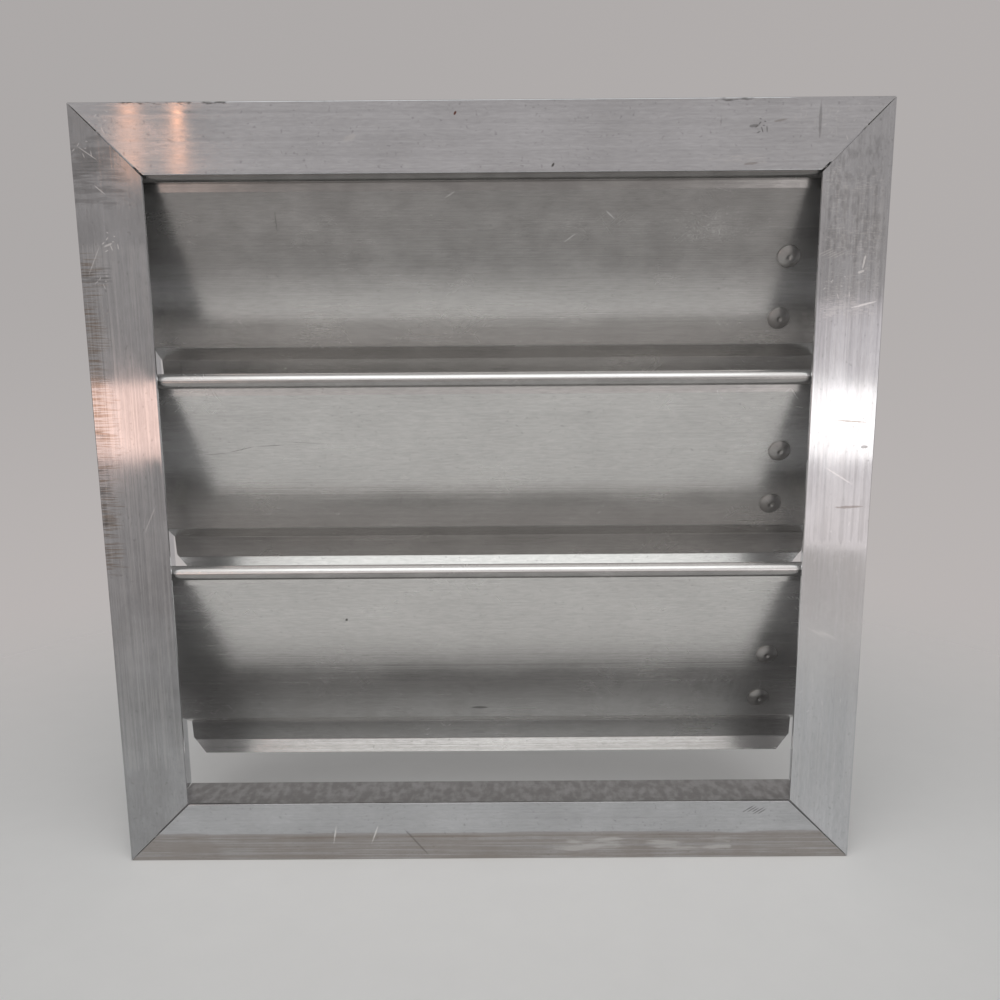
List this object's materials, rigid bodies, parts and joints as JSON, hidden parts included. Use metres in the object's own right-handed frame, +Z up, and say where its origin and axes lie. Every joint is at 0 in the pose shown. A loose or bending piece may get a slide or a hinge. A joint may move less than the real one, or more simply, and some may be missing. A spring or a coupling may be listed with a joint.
{
  "type": "duct backdraft damper",
  "caption": "Square duct backdraft damper: mitred extruded flange frame with linked folded sheet blades that airflow opens and gravity closes.",
  "frame": {"origin": "centre of the opening, on the plane where the rear of the flange's rim seats on the duct's end", "axes": "+X along the blade hinges to the right seen from the front, +Y into the duct, +Z up as installed"},
  "size_m": [0.3174, 0.0588, 0.3174],
  "materials": {
    "frame_aluminium": "mill-finish extrusion with fine die lines, scratches and smudges",
    "blade_aluminium": "mill-finish rolled sheet with fine grain along the hinge",
    "rivet_aluminium": "satin formed heads",
    "rod_steel": "drawn rod",
    "key_steel": "zinc-plated stamping",
    "link_steel": "galvanised sheet",
    "pin_steel": "turned and plated",
    "bushing_nylon": "moulded, unpainted"
  },
  "bodies": {
    "frame": {"frame_top": "frame_aluminium", "frame_bottom": "frame_aluminium", "frame_left": "frame_aluminium", "frame_right": "frame_aluminium", "corner_key_top_left": "key_steel", "corner_key_top_right": "key_steel", "corner_key_bottom_left": "key_steel", "corner_key_bottom_right": "key_steel", "pivot_bushing_top_left": "bushing_nylon", "pivot_bushing_top_right": "bushing_nylon", "pivot_bushing_middle_left": "bushing_nylon", "pivot_bushing_middle_right": "bushing_nylon", "pivot_bushing_bottom_left": "bushing_nylon", "pivot_bushing_bottom_right": "bushing_nylon"},
    "top_blade": {"blade_top": "blade_aluminium", "pivot_rod_top": "rod_steel", "blade_rivets_top": "rivet_aluminium", "link_clip_top": "link_steel", "link_pin_top": "pin_steel"},
    "middle_blade": {"blade_middle": "blade_aluminium", "pivot_rod_middle": "rod_steel", "blade_rivets_middle": "rivet_aluminium", "link_clip_middle": "link_steel", "link_pin_middle": "pin_steel"},
    "bottom_blade": {"blade_bottom": "blade_aluminium", "pivot_rod_bottom": "rod_steel", "blade_rivets_bottom": "rivet_aluminium", "link_clip_bottom": "link_steel", "link_pin_bottom": "pin_steel"},
    "link_bar": {"tie_bar": "link_steel"}
  },
  "joints": [
    {"name": "top_blade_swing", "type": "hinge", "parent": "frame", "child": "top_blade", "pos_m": [0, 0.0018, 0.13299], "axis": [1, 0, 0], "range_deg": [-20, 47]},
    {"name": "middle_blade_swing", "type": "hinge", "parent": "frame", "child": "middle_blade", "pos_m": [0, 0.0018, 0.05206], "axis": [1, 0, 0], "range_deg": [-20, 47]},
    {"name": "bottom_blade_swing", "type": "hinge", "parent": "frame", "child": "bottom_blade", "pos_m": [0, 0.0018, -0.02887], "axis": [1, 0, 0], "range_deg": [-20, 47]},
    {"name": "tie_bar_turn", "type": "hinge", "parent": "top_blade", "child": "link_bar", "pos_m": [0.1361, 0.05061, 0.04693], "axis": [1, 0, 0], "range_deg": [-47, 20]}
  ],
  "couplings": [
    {"joint": "middle_blade_swing", "follows": "top_blade_swing", "ratio": 1},
    {"joint": "bottom_blade_swing", "follows": "top_blade_swing", "ratio": 1},
    {"joint": "tie_bar_turn", "follows": "top_blade_swing", "ratio": -1}
  ]
}
